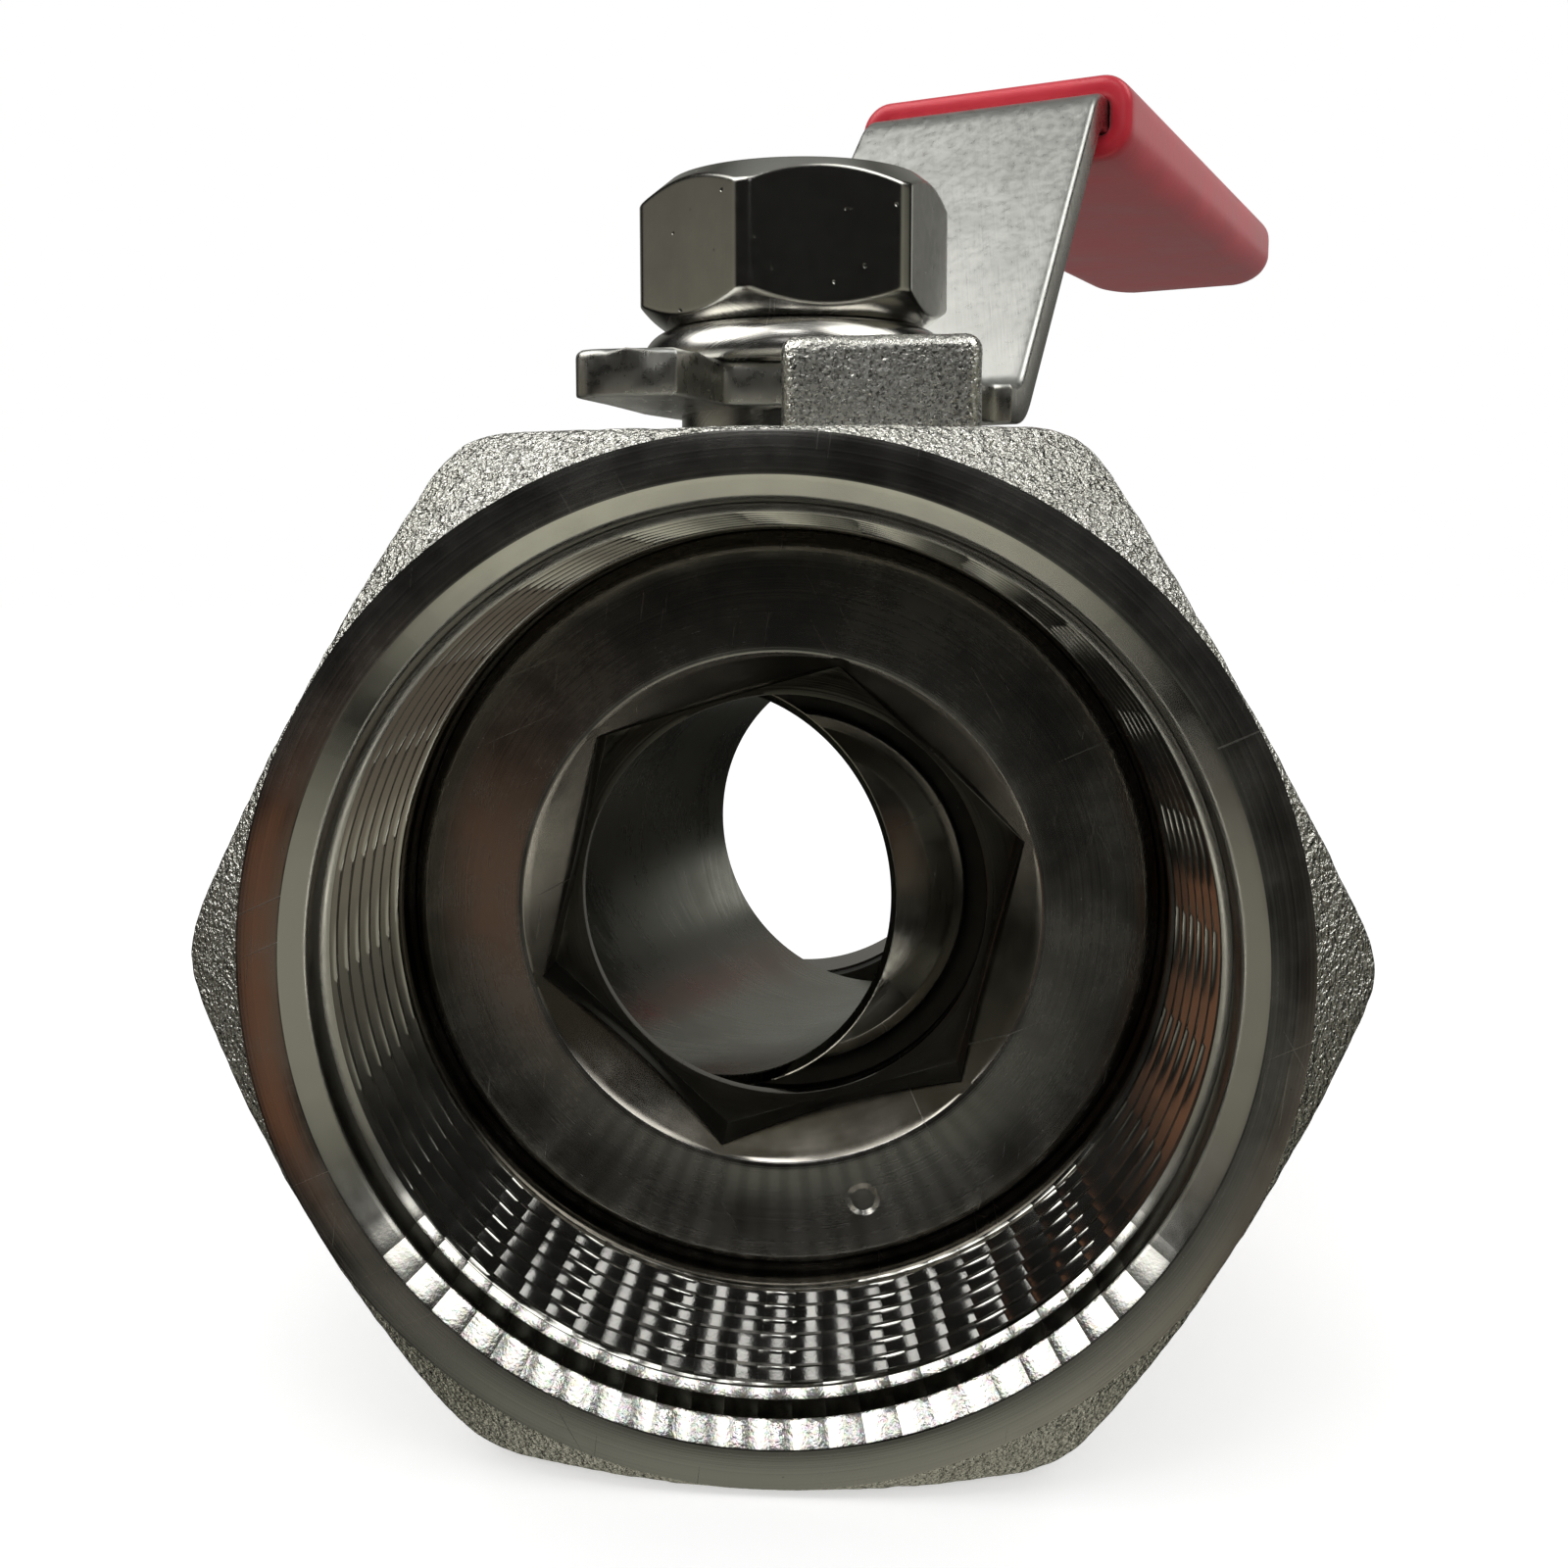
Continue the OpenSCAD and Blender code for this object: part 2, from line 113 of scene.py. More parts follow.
def link(obj, body, replaced=()):
    """Puts a finished piece into the scene, on its body, in place of CAD nodes."""
    bpy.context.scene.collection.objects.link(obj)
    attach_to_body(obj, body)
    if replaced:
        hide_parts(*replaced)
    return obj


def mesh_object(name, points, faces, materials, face_material=None, sharp=40):
    """Mesh from points in millimetres, smooth apart from edges over sharp degrees."""
    mesh = bpy.data.meshes.new(name)
    mesh.from_pydata((np.asarray(points) * MM).tolist(), [], faces)
    mesh.polygons.foreach_set("use_smooth", [True] * len(mesh.polygons))
    if face_material is not None:
        mesh.polygons.foreach_set("material_index", face_material)
    for material in materials:
        mesh.materials.append(material)
    mesh.set_sharp_from_angle(angle=math.radians(sharp))
    mesh.update()
    return bpy.data.objects.new(name, mesh)


def grid_faces(rows, columns, close_rows):
    """Quads of a grid whose columns wrap round, and whose rows may."""
    last = rows if close_rows else rows - 1
    faces = []
    for r in range(last):
        a, b = r * columns, (r + 1) % rows * columns
        for c in range(columns):
            d = (c + 1) % columns
            faces.append((a + c, b + c, b + d, a + d))
    return faces


def ring(radius, theta, height):
    """Points about +Z at a height; radius and height may vary round the ring."""
    radius, height = np.broadcast_to(radius, theta.shape), np.broadcast_to(height, theta.shape)
    return np.stack([radius * np.cos(theta), radius * np.sin(theta), height], 1)


def bore_ring(radius, theta, y):
    """Points about the bore's axis at a depth y."""
    return ring(radius, theta, y)[:, (X, Z, Y)]


def turns(columns):
    """Angles of the columns round a ring."""
    return np.arange(columns) * TAU / columns


def about_stem(points, turn=0.0):
    """Points made about +Z, turned clockwise from above and moved to the stem's axis."""
    c, s = math.cos(-turn), math.sin(-turn)
    x, y, z = points[:, X], points[:, Y], points[:, Z]
    return np.stack([x * c - y * s + STEM[X], x * s + y * c + STEM[Y], z], 1)


def smooth_min(a, b, k):
    """Smaller of two values, rounded over a width of k where they meet."""
    h = np.clip(0.5 + 0.5 * (b - a) / k, 0, 1)
    return b * (1 - h) + a * h - k * h * (1 - h)


def smooth_max(a, b, k):
    return -smooth_min(-np.asarray(a), -np.asarray(b), k)


def hexagon(theta, half_width, turn=0.0):
    """Radius of a hexagon with corners at turn, turn + 60 degrees and so on."""
    delta = np.mod(theta - turn, TAU / 6) - TAU / 12
    return half_width / np.cos(delta)


def steps(first, last, step):
    """Values from first to last, both included, about step apart."""
    count = max(1, round(abs(last - first) / step))
    return [first + (last - first) * i / count for i in range(count + 1)]


def bumps(points, scale, seed=0.0):
    """Smooth noise, about -1 to 1, at each point for features about scale across."""
    shift = Vector((seed, seed * 1.7, seed * 0.3))
    return np.array([noise.noise(Vector(p) / scale + shift) for p in points]) * 2


# ---------------------------------------------------------------- materials


def node(tree, kind, inputs=None, **settings):
    """Adds a node; each input is a value, or an output to link. Returns its outputs."""
    made = tree.nodes.new(kind)
    for key, value in settings.items():
        setattr(made, key, value)
    for key, value in (inputs or {}).items():
        if isinstance(value, bpy.types.NodeSocket):
            tree.links.new(value, made.inputs[key])
        else:
            made.inputs[key].default_value = value
    return made.outputs


def calc(tree, operation, a, b=0.0):
    """One step of arithmetic."""
    return node(tree, "ShaderNodeMath", {0: a, 1: b}, operation=operation)[0]


def vector_calc(tree, operation, a, b=None):
    """One step of vector arithmetic; gives the outputs, a vector and a number."""
    inputs = {0: a} if b is None else {0: a, 1: b}
    return node(tree, "ShaderNodeVectorMath", inputs, operation=operation)


def plus(tree, a, b):
    return calc(tree, "ADD", a, b)


def times(tree, a, b):
    return calc(tree, "MULTIPLY", a, b)


def spread(tree, value, low, high, to_low=0.0, to_high=1.0):
    """Value taken from low..high to to_low..to_high, held at both ends."""
    return node(tree, "ShaderNodeMapRange", {0: value, 1: low, 2: high, 3: to_low, 4: to_high})[0]


def grain(tree, vector, size, detail=2.0, rough=0.5):
    """Noise with features about size millimetres across."""
    inputs = {"Vector": vector, "Scale": 1 / (size * MM), "Detail": detail, "Roughness": rough}
    return node(tree, "ShaderNodeTexNoise", inputs)[0]


def blend(tree, share, first, second):
    """Colour between first and second, each a socket or a colour of three values."""
    first, second = (
        c if isinstance(c, bpy.types.NodeSocket) else (*c, 1) for c in (first, second)
    )
    # Sockets 6 and 7 of a mix node are its colours, and output 2 is the mixed colour.
    return node(tree, "ShaderNodeMix", {0: share, 6: first, 7: second}, data_type="RGBA")[2]


def relief(tree, height, depth, normal=None):
    """Bump whose height, times depth, is in millimetres."""
    inputs = {"Height": height, "Strength": 1.0, "Distance": depth * MM}
    if normal:
        inputs["Normal"] = normal
    return node(tree, "ShaderNodeBump", inputs)[0]


def scratches(tree, vector, turn, length, width, rare):
    """Sparse hairlines across the end faces: 1 in a scratch, 0 elsewhere."""
    turned = node(
        tree, "ShaderNodeMapping", {"Vector": vector, "Rotation": (0, math.radians(turn), 0)}
    )[0]
    scale = (1 / (length * MM), 1, 1 / (width * MM))
    streak = node(tree, "ShaderNodeMapping", {"Vector": turned, "Scale": scale})[0]
    inputs = {"Vector": streak, "Scale": 1.0, "Detail": 0.0}
    line = node(tree, "ShaderNodeTexNoise", inputs)[0]
    return spread(tree, line, rare, rare + 0.04)


def around_bore(tree, vector):
    """Radius, angle and depth about the bore's axis, in metres and radians."""
    part = node(tree, "ShaderNodeSeparateXYZ", {0: vector})
    flat = node(tree, "ShaderNodeCombineXYZ", {X: part[X], Z: part[Z]})[0]
    radius = vector_calc(tree, "LENGTH", flat)[1]
    return radius, calc(tree, "ARCTAN2", part[Z], part[X]), part[Y]


def new_metal(name, colour, rough, metal=1.0):
    """Principled material with its tree, shader and object coordinates."""
    material = bpy.data.materials.new(name)
    material.use_nodes = True
    tree = material.node_tree
    shader = tree.nodes["Principled BSDF"]
    shader.inputs["Base Color"].default_value = (*colour, 1)
    shader.inputs["Roughness"].default_value = rough
    shader.inputs["Metallic"].default_value = metal
    return material, tree, shader, node(tree, "ShaderNodeTexCoord")["Object"]


def attach(tree, shader, **sockets):
    """Links outputs to the shader's inputs, named with _ for a space."""
    for name, output in sockets.items():
        tree.links.new(output, shader.inputs[name.replace("_", " ")])


def cast_metal(name, depth):
    """Blasted casting: coarse sparkling grain with painted shade in its hollows, small lumps and
    darker stains.
    """
    material, tree, shader, place = new_metal(name, (0.55, 0.54, 0.51), 0.4)
    fine = grain(tree, place, 0.36, 2.0, 0.6)
    coarse = grain(tree, place, 1.1, 1.0)
    stain = grain(tree, place, 9.0, 3.0)
    height = plus(tree, times(tree, fine, 0.7), times(tree, coarse, 0.3))
    stain = spread(tree, stain, 0.35, 0.65)
    colour = blend(tree, stain, (0.60, 0.59, 0.54), (0.74, 0.73, 0.69))
    # Painted shade: darker colour where the fine grain is low, in its hollows.
    colour = blend(tree, spread(tree, fine, 0.3, 0.5), (0.42, 0.41, 0.37), colour)
    dull = spread(tree, grain(tree, place, 0.3), 0.35, 0.65, 0.16, 0.38)
    attach(tree, shader, Base_Color=colour, Normal=relief(tree, height, depth), Roughness=dull)
    return material


def punch_mark(tree, place, mark):
    """Depth in millimetres of a round punch mark about (x, z) in a face across the bore."""
    outer, inner, depth = 1.25, 0.85, 0.3
    centre = (mark[0] * MM, 0, mark[1] * MM)
    flat = vector_calc(tree, "MULTIPLY", place, (1, 0, 1))[0]
    away = vector_calc(tree, "DISTANCE", flat, centre)[1]
    return spread(tree, away, outer * MM, inner * MM, 0.0, depth)


def darker(colour, share):
    return tuple(share * c for c in colour)


PLAIN_STEEL = (0.56, 0.545, 0.51)


def turned_metal(name, rough, ring_size, ring_depth, tint=PLAIN_STEEL, mark=None, wear=1.0):
    """Lathe-turned steel: concentric tool marks, hairline scratches and handling smudges.

    mark is the place (x, z) of a punch mark, and brings faint chatter spokes on the low
    side with it, painted darker there as shade; wear is the share of the usual scratches.
    """
    material, tree, shader, place = new_metal(name, tint, rough)
    radius, angle, depth = around_bore(tree, place)
    along = plus(tree, radius, times(tree, depth, 0.8))
    inputs = {"W": along, "Scale": 1 / (ring_size * MM), "Detail": 3.0}
    rings = node(tree, "ShaderNodeTexNoise", inputs, noise_dimensions="1D")[0]
    smudge = grain(tree, place, 7.0, 4.0, 0.6)
    lines = scratches(tree, place, 24, 20.0, 0.16, 0.8)
    lines = calc(tree, "MAXIMUM", lines, scratches(tree, place, -61, 12.0, 0.14, 0.81))
    lines = calc(tree, "MAXIMUM", lines, scratches(tree, place, 83, 6.0, 0.12, 0.8))
    height = plus(tree, times(tree, rings, ring_depth), times(tree, lines, -0.003 * wear))
    colour = blend(tree, spread(tree, smudge, 0.3, 0.7), darker(tint, 0.86), tint)
    if mark:
        height = calc(tree, "SUBTRACT", height, punch_mark(tree, place, mark))
        # Painted shade: chatter spokes darkened into the colour, only on the low side, where the
        # lamp lights the face.
        spokes = calc(tree, "SINE", times(tree, angle, CHATTER))
        low_side = spread(tree, calc(tree, "SINE", angle), -0.6, -0.85)
        shaded = times(tree, spread(tree, spokes, -0.6, 0.8, 0.0, 0.5), low_side)
        colour = blend(tree, shaded, colour, darker(tint, 0.5))
    specks = spread(tree, grain(tree, place, 0.5, 1.0), 0.2, 0.15)
    colour = blend(tree, specks, colour, darker(tint, 0.5))
    dull = spread(tree, smudge, 0.35, 0.65, rough - 0.05, rough + 0.08)
    dull = plus(tree, dull, times(tree, lines, 0.12 * wear))
    dull = plus(tree, dull, spread(tree, rings, 0.3, 0.7, -0.03, 0.04))
    attach(tree, shader, Base_Color=colour, Normal=relief(tree, height, 1.0), Roughness=dull)
    return material


def chattered_metal(name, rough, depth, sparkle):
    """Cut steel whose tool has chattered: scallops round the low side, some glitter there, a
    painted rainbow highlight tint and painted shade darkening that side.
    """
    material, tree, shader, place = new_metal(name, (0.6, 0.59, 0.56), rough)
    _, angle, along = around_bore(tree, place)
    wander = times(tree, grain(tree, place, 14.0, 1.0), 0.5)
    phase = plus(tree, times(tree, angle, CHATTER / TAU), wander)
    phase = calc(tree, "FRACT", plus(tree, phase, times(tree, along, 10.0)))
    scallop = times(tree, phase, calc(tree, "SUBTRACT", 1.0, phase))
    low_side = spread(tree, calc(tree, "SINE", angle), -0.55, -0.8, 0.015, 1.0)
    ripple = times(tree, times(tree, scallop, 4 * depth), low_side)
    glitter = times(tree, times(tree, grain(tree, place, 0.22, 1.0), low_side), sparkle)
    # Painted highlight: rainbow noise colour mixed into the base on the low side, where the lamp's
    # highlights fall.
    inputs = {"Vector": place, "Scale": 1 / (0.3 * MM), "Detail": 0.0}
    tint = node(tree, "ShaderNodeTexNoise", inputs)[1]
    colour = blend(tree, times(tree, low_side, sparkle * 12), (0.56, 0.55, 0.51), tint)
    # Painted shade: the low side's base colour darkened to tone down the lamp's highlight there.
    colour = blend(tree, times(tree, low_side, 0.4), colour, (0.14, 0.14, 0.135))
    dull = spread(tree, grain(tree, place, 3.0, 3.0), 0.3, 0.7, rough, rough + 0.1)
    height = relief(tree, plus(tree, ripple, glitter), 1.0)
    attach(tree, shader, Base_Color=colour, Normal=height, Roughness=dull)
    return material


def brushed_metal(name, colour, rough, turn, depth, pitting=None, uneven=0.08):
    """Stamped or milled steel with softened edges and fine brushing one way.

    pitting is the share of the noise that becomes pits, if there are any.
    """
    material, tree, shader, place = new_metal(name, colour, rough)
    inputs = {
        "Vector": place,
        "Rotation": (0, 0, math.radians(turn)),
        "Scale": (1 / (0.12 * MM), 1 / (6 * MM), 1 / (6 * MM)),
    }
    brush = node(tree, "ShaderNodeMapping", inputs)[0]
    lines = node(tree, "ShaderNodeTexNoise", {"Vector": brush, "Scale": 1.0, "Detail": 3.0})[0]
    mottle = grain(tree, place, 0.9, 3.0)
    height = plus(tree, times(tree, lines, depth), times(tree, mottle, depth * 0.6))
    smudge = grain(tree, place, 6.0, 4.0, 0.6)
    shade = blend(tree, spread(tree, smudge, 0.3, 0.7), darker(colour, 0.82), colour)
    if pitting is not None:
        pits = spread(tree, grain(tree, place, 0.8, 0.0), pitting, pitting - 0.05)
        height = calc(tree, "SUBTRACT", height, times(tree, pits, 0.05))
        shade = blend(tree, pits, shade, (0.05, 0.05, 0.045))
    soft = node(tree, "ShaderNodeBevel", {"Radius": 0.35 * MM}, samples=6)[0]
    dull = spread(tree, mottle, 0.3, 0.7, rough - uneven, rough + uneven)
    bump = relief(tree, height, 1.0, soft)
    attach(tree, shader, Base_Color=shade, Normal=bump, Roughness=dull)
    return material


def vinyl():
    """Dipped vinyl: even red, faint orange-peel and dulled patches from handling."""
    material, tree, shader, place = new_metal("red_vinyl", (0.62, 0.012, 0.035), 0.38, 0.0)
    shader.inputs["Sheen Weight"].default_value = 0.4
    shader.inputs["Sheen Roughness"].default_value = 0.4
    peel = times(tree, grain(tree, place, 1.1, 2.0), 0.02)
    height = plus(tree, peel, times(tree, grain(tree, place, 0.25, 1.0), 0.006))
    worn = grain(tree, place, 12.0, 4.0, 0.6)
    red = blend(tree, spread(tree, worn, 0.35, 0.65), (0.68, 0.022, 0.044), (0.80, 0.036, 0.062))
    dull = spread(tree, worn, 0.3, 0.7, 0.3, 0.46)
    attach(tree, shader, Base_Color=red, Normal=relief(tree, height, 1.0), Roughness=dull)
    return material


def ptfe_plastic(name, dark, light):
    """Moulded ring: waxy, with a faint grain."""
    material, tree, shader, place = new_metal(name, light, 0.45, 0.0)
    shade = blend(tree, grain(tree, place, 2.0, 3.0), dark, light)
    attach(tree, shader, Base_Color=shade, Normal=relief(tree, grain(tree, place, 0.3), 0.02))
    return material


CAST = cast_metal("cast_stainless", 0.6)
SMOOTH_CAST = cast_metal("smooth_cast_stainless", 0.2)
TURNED = turned_metal("turned_stainless", 0.2, 0.16, 0.004)
# Painted shade: a darker copy of turned steel for the countersink and the body's inside, where
# shade falls.
SHADED_TURNED = turned_metal("socket_steel_painted_shade", 0.17, 0.3, 0.003, (0.34, 0.32, 0.285))
EDGE = chattered_metal("cut_edge_stainless", 0.15, 0.15, 0.02)
THREAD = chattered_metal("thread_stainless", 0.1, 0.11, 0.004)
POLISHED = turned_metal("polished_stainless", 0.08, 0.2, 0.0004, (0.72, 0.71, 0.68))
SATIN = turned_metal("satin_stainless", 0.27, 0.25, 0.002, (0.48, 0.48, 0.43), wear=0.1)
PUNCHED = turned_metal("insert_stainless", 0.22, 0.16, 0.005, mark=(6.2, -21.6))
# Painted shade: near-black steel for the deep hexagon socket, its hole and the pocket behind it.
SHADED_BROACHED = turned_metal("broached_steel_painted_shade", 0.34, 0.3, 0.02, (0.16, 0.155, 0.13))
SHEET = brushed_metal("sheet_stainless", (0.5, 0.5, 0.48), 0.34, 21, 0.008, -0.1)
SHEARED = brushed_metal("sheared_stainless", (0.46, 0.45, 0.41), 0.3, 90, 0.02, -0.05)
MILLED = brushed_metal("milled_stainless", (0.56, 0.55, 0.51), 0.15, 0, 0.003, 0.17, 0.02)
VINYL = vinyl()
PTFE = ptfe_plastic("ptfe", (0.76, 0.74, 0.64), (0.86, 0.85, 0.80))
# Painted shade: near-black PTFE for the seats, which sit in shade inside the valve.
SHADED_PTFE = ptfe_plastic("ptfe_painted_shade", (0.03, 0.028, 0.02), (0.08, 0.074, 0.055))


# ---------------------------------------------------------------- body, insert, ball and nut


def outer_radius(theta, y):
    """Outside of the casting at a depth y from the insert-end face."""
    y = min(y, LENGTH - y)
    outer = smooth_min(hexagon(theta, HEX_HALF), CORNER_R, 0.9)
    outer = smooth_min(outer, RING_R + y / CAST_SLOPE, 0.5)
    outer = smooth_min(outer, WAIST_R + (HEX_LENGTH - y) * 2, 1.5)
    return smooth_max(outer, WAIST_R, 1.6)


def thread_radius(theta, y, depth):
    """Radius of the helical pipe thread at y, a given depth into its own port."""
    root_reach, flank, taper, run_out = 1.72, 1.92, 32, 0.8
    phase = np.mod((y + PITCH * theta / TAU) / PITCH, 1.0)
    offset = np.abs(phase - 0.5) * PITCH
    cut = np.clip(root_reach - offset * flank, 0, THREAD_DEPTH)
    lead_in = np.clip((depth - THREAD_START) / run_out, 0, 1)
    lead_out = np.clip((THREAD_END - depth) / run_out, 0, 1)
    return CREST_R - (depth - THREAD_START) / taper + cut * (lead_in * lead_out)


# Materials of the body's mesh, in the order of its slots.
OUTSIDE, FACE_RING, CUT, THREADED, INSIDE = range(5)


def port_rows(theta, place, floor):
    """Rows from the face ring in to the floor of a port, as (depth, radius, material).

    place turns a depth into the port into a depth from the insert's end, so that both
    ends carry a right-hand thread.
    """
    rows = [(0.0, RING_R - 0.14, FACE_RING), (0.0, 32.0, FACE_RING)]
    rows += [(0.0, RING_INNER_R + 0.15, FACE_RING), (0.03, RING_INNER_R, FACE_RING)]
    rows += [(y, RING_INNER_R + 0.02 - y, CUT) for y in steps(0.08, CHAMFER_DEPTH, 0.26)]
    rows += [(CHAMFER_DEPTH + 0.06, MOUTH_R, THREADED)]
    rows += [(CHAMFER_DEPTH + 0.2, MOUTH_R - 0.02, THREADED)]
    rows += [(WALL_DEPTH, MOUTH_R - 0.1, THREADED), (WALL_DEPTH + 0.08, MOUTH_R - 0.13, CUT)]
    rows += [(THREAD_START - 0.1, CREST_R, CUT)]
    for y in steps(THREAD_START, THREAD_END, PITCH / 24):
        rows.append((y, thread_radius(theta, place(y), y), THREADED))
    rows += [(THREAD_END + 0.2, RELIEF_R + 0.05, INSIDE), (THREAD_END + 0.35, RELIEF_R, INSIDE)]
    return rows + [(floor, RELIEF_R, INSIDE)]


def far(depth):
    """Depth from the insert's end of a depth from the far end."""
    return LENGTH - depth


def add_lumps(points):
    """Cast unevenness, left off at both faces; points are about the bore, from the face."""
    radial = points * (1, 0, 1)
    radial /= np.linalg.norm(radial, axis=1, keepdims=True)
    share = np.clip(np.minimum(points[:, Y], LENGTH - points[:, Y]) / 0.5, 0, 1)
    lumps = bumps(points, 3.0) * 0.035 + bumps(points, 0.9, 5.0) * 0.03
    points += radial * (lumps * share)[:, None]


def make_body():
    """One-piece casting: outside, machined mouths, threads and bore in one closed skin."""
    columns = 600
    theta = turns(columns)

    # Outside, from the insert end to the far end: close rows at the bevel and the hexagon's end.
    stretches = ((0.02, 5, 0.2), (5.4, 20, 0.9), (20.3, 27, 0.3), (28, 49, 1.5))
    depths = [y for first, last, step in stretches for y in steps(first, last, step)]
    depths += [far(y) for y in reversed(depths)]
    rows = [(y, outer_radius(theta, y), OUTSIDE) for y in depths]
    cast_points = len(rows) * columns

    # In at the far port, through the bore and the chamber, and out at the insert's port.
    rows += [(far(y), r, material) for y, r, material in port_rows(theta, far, OUTLET_DEPTH)]
    floor = far(OUTLET_DEPTH)
    bore = [(floor, RELIEF_R - 0.1), (floor, BORE_R + 0.4), (floor - 0.4, BORE_R)]
    bore += [(POCKET_END, BORE_R), (POCKET_END - 0.1, POCKET_R), (CHAMBER_END, POCKET_R)]
    bore += [(CHAMBER_END, CHAMBER_R), (SEAL_SHOULDER, CHAMBER_R), (SEAL_SHOULDER, RELIEF_R)]
    rows += [(y, r, INSIDE) for y, r in bore]
    rows += reversed(port_rows(theta, lambda y: y, SEAL_SHOULDER - 0.1))

    points = np.concatenate([bore_ring(r, theta, y) for y, r, _ in rows])
    add_lumps(points[:cast_points])
    points += (0, FACE, 0)
    faces = [tuple(reversed(f)) for f in grid_faces(len(rows), columns, True)]
    # The inside's slot takes the darker turned steel, painted shade.
    materials = (CAST, TURNED, EDGE, THREAD, SHADED_TURNED)
    index = np.repeat([material for _, _, material in rows], columns)
    body = mesh_object("body_casting", points, faces, materials, index, 28)
    return link(body, "valve", ["body"])


def waist_height(x):
    """Height of the round waist's top at a distance x beside the stem."""
    return np.sqrt(np.maximum(WAIST_R**2 - x**2, 0))


def make_boss():
    """Cast boss round the stem, with a fillet that follows the round waist."""
    columns = 128
    theta = turns(columns)
    top, radius, fillet = 35.55, 15.0, 4.0
    hole, bottom = 11.6, 24.0
    rows = [(hole, top - 4), (hole, top - 0.5), (12.2, top), (14.3, top), (14.8, top - 0.2)]
    rows.append((radius, top - 0.7))
    for share in steps(0, 1, 0.12):
        angle = share * TAU / 4
        reach = radius + fillet * (1 - math.cos(angle))
        height = waist_height(reach * np.cos(theta)) + fillet * (1 - math.sin(angle))
        rows.append((reach, np.minimum(height, top - 0.75)))
    reach = radius + fillet
    rows += [(reach, waist_height(reach * np.cos(theta)) - 1.5), (hole, bottom)]
    points = about_stem(np.concatenate([ring(r, theta, h) for r, h in rows]))
    boss = mesh_object("stem_boss", points, grid_faces(len(rows), columns, True), [CAST], sharp=50)
    return link(boss, "valve")


def make_post():
    """Cast stop post: a block with soft edges and slightly uneven faces."""
    low, high = Vector((-0.2, STEM_Y - 22.4, 27.0)), Vector((14.7, STEM_Y - 13.4, 42.1))
    edge_round, longest_edge, unevenness = 1.25, 0.9, 0.09
    bm = bmesh.new()
    bmesh.ops.create_cube(bm, size=1.0)
    for v in bm.verts:
        for k in (X, Y, Z):
            v.co[k] = low[k] if v.co[k] < 0 else high[k]
    edges = [e for e in bm.edges if not all(v.co.z < low.z + 1 for v in e.verts)]
    bmesh.ops.bevel(bm, geom=edges, offset=edge_round, segments=5, profile=0.5, affect="EDGES")
    bmesh.ops.triangulate(bm, faces=bm.faces[:])
    for _ in range(3):
        long = [e for e in bm.edges if e.calc_length() > longest_edge]
        bmesh.ops.subdivide_edges(bm, edges=long, cuts=1)
    bmesh.ops.triangulate(bm, faces=bm.faces[:])
    for v in bm.verts:
        shifts = [v.co / 2.0 + Vector((k * 9.0, 0, 0)) for k in (X, Y, Z)]
        v.co += Vector([noise.noise(shift) * unevenness for shift in shifts])
    mesh = bpy.data.meshes.new("stop_post")
    bm.to_mesh(mesh)
    bm.free()
    mesh.transform(Matrix.Scale(MM, 4))
    mesh.materials.append(SMOOTH_CAST)
    mesh.polygons.foreach_set("use_smooth", [True] * len(mesh.polygons))
    return link(bpy.data.objects.new("stop_post", mesh), "valve")


def make_insert():
    """Turned retainer with its countersunk hexagon socket."""
    columns = 720
    theta = turns(columns)
    face, rim, back = INSERT_FACE, 26.85, 33.0
    countersink, hole = 19.0, 15.45
    socket_floor = face + 6.0
    socket = hexagon(theta, 15.95, math.radians(16.5))
    turned, cut, broached = range(3)

    # Outside and face, as (radius, depth).
    rows = [(26.1, back), (26.1, 31.0), (27.65, 31.0), (27.65, 24.1), (rim, 23.6), (rim, 21.95)]
    rows += [(26.8, 21.86), (26.35, 21.42), (26.25, 21.32), (26.15, face)]
    rows += [(r, face) for r in (25.2, 24.0, 22.5, 21.0, 19.6, countersink + 0.08)]
    rows.append((countersink, face + 0.02))
    rows = [(r, y, turned) for r, y in rows]

    # Countersink at 45 degrees down to the hexagon, whose mouth is deepest at its corners.
    for share in steps(0.03, 1, 0.16):
        r = socket + (countersink - socket) * (1 - share)
        rows.append((r, face + (countersink - r), cut))
    mouth = face + (countersink - socket) + 0.1
    rows.append((socket - 0.05, mouth, cut))
    for share in (0.04, 0.3, 0.6, 1.0):
        rows.append((socket, mouth + (socket_floor + 0.1 - mouth) * share, broached))
    for share in (0.02, 0.3, 0.6, 0.95):
        rows.append((socket + (hole + 0.05 - socket) * share, socket_floor + 0.12, broached))

    # Round hole and the pocket behind it.
    rows += [(hole + 0.02, socket_floor + 0.16, cut), (hole, socket_floor + 0.3, cut)]
    rows += [(hole, 28.5, broached), (hole + 0.15, 28.6, broached), (POCKET_R, 28.6, broached)]
    rows.append((POCKET_R, back, broached))

    points = np.concatenate([bore_ring(r, theta, y) for r, y, _ in rows]) + (0, FACE, 0)
    faces = [tuple(reversed(f)) for f in grid_faces(len(rows), columns, True)]
    # The countersink and the hexagon socket, hole and pocket take darker steel, painted shade.
    materials = (PUNCHED, SHADED_TURNED, SHADED_BROACHED)
    index = np.repeat([material for _, _, material in rows], columns)
    insert = mesh_object("threaded_insert", points, faces, materials, index, 30)
    return link(insert, "valve", ["insert"])


